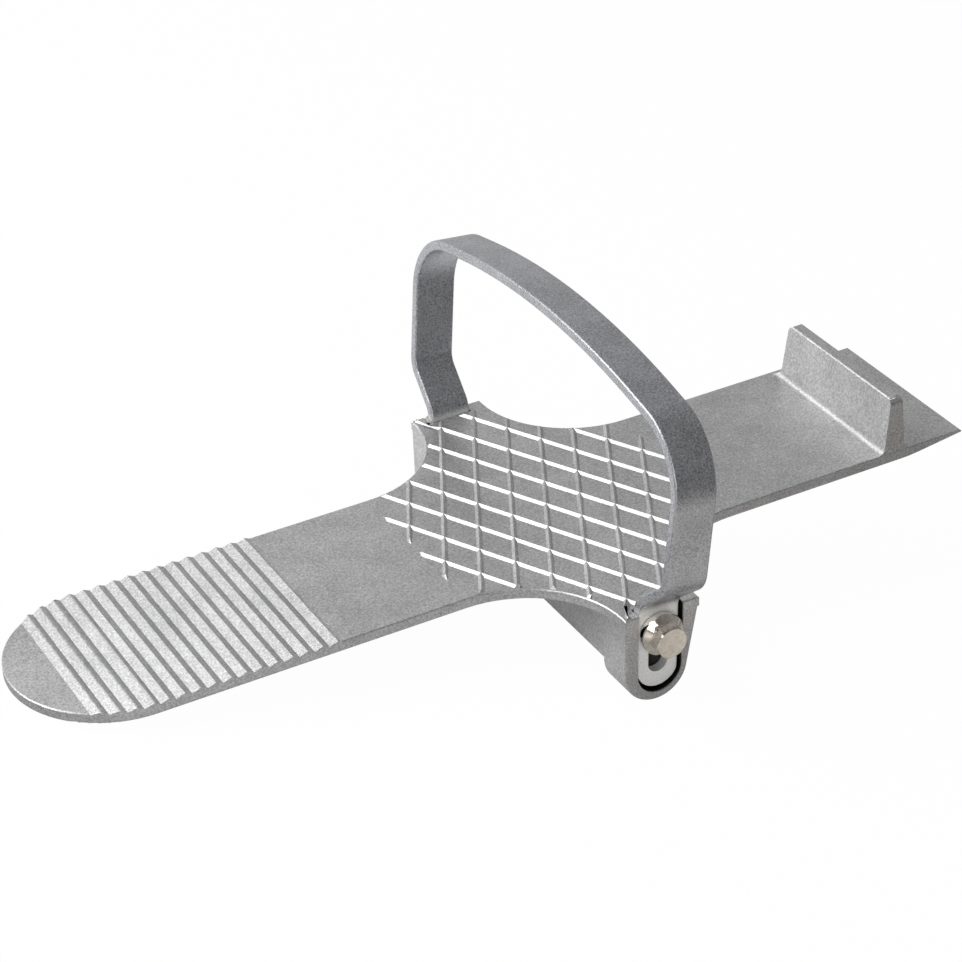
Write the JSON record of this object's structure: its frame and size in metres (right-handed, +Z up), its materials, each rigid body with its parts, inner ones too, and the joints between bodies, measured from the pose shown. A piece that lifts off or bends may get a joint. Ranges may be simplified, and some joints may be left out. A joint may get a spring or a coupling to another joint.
{
  "type": "foot-operated board lifter",
  "caption": "Foot-operated rocker for lifting boards: ribbed pedal, diamond-ribbed platform on rounded lugs, thin lip with an upright fence, and an adjustable steel strap arched over the shoe",
  "frame": {"origin": "centre of the bounding box at floor level, with the tool lying on its toe and its two lugs", "axes": "+Z up; +X from the pedal's toe towards the lip; +Y to the left for someone looking along +X"},
  "size_m": [0.3174, 0.1662, 0.1057],
  "materials": {
    "cast_body": "satin blasted sand casting",
    "strap_paint": "silver hammered paint",
    "plated_steel": "bright zinc plating"
  },
  "bodies": {
    "casting": {"body_casting": "cast_body"},
    "strap": {"foot_strap": "strap_paint"},
    "right_washer": {"right_spring_washer": "plated_steel"},
    "right_bolt": {"right_bolt": "plated_steel"},
    "left_washer": {"left_spring_washer": "plated_steel"},
    "left_bolt": {"left_bolt": "plated_steel"}
  },
  "joints": [
    {"name": "strap_height", "type": "slide", "parent": "casting", "child": "strap", "axis": [-0.1227, 0, 0.9924], "range_m": [0, 0.0115]},
    {"name": "right_washer_travel", "type": "slide", "parent": "casting", "child": "right_washer", "axis": [0, -1, 0], "range_m": [0, 0.0021]},
    {"name": "right_bolt_turn", "type": "hinge", "parent": "right_washer", "child": "right_bolt", "pos_m": [0.0232, -0.07054, 0.02418], "axis": [0, -1, 0], "range_deg": [0, 720]},
    {"name": "left_washer_travel", "type": "slide", "parent": "casting", "child": "left_washer", "axis": [0, 1, 0], "range_m": [0, 0.0021]},
    {"name": "left_bolt_turn", "type": "hinge", "parent": "left_washer", "child": "left_bolt", "pos_m": [0.0232, 0.07054, 0.02418], "axis": [0, 1, 0], "range_deg": [0, 720]}
  ],
  "couplings": [
    {"joint": "right_washer_travel", "follows": "right_bolt_turn", "m_per_rad": 0.00015915},
    {"joint": "left_washer_travel", "follows": "left_bolt_turn", "m_per_rad": 0.00015915}
  ]
}
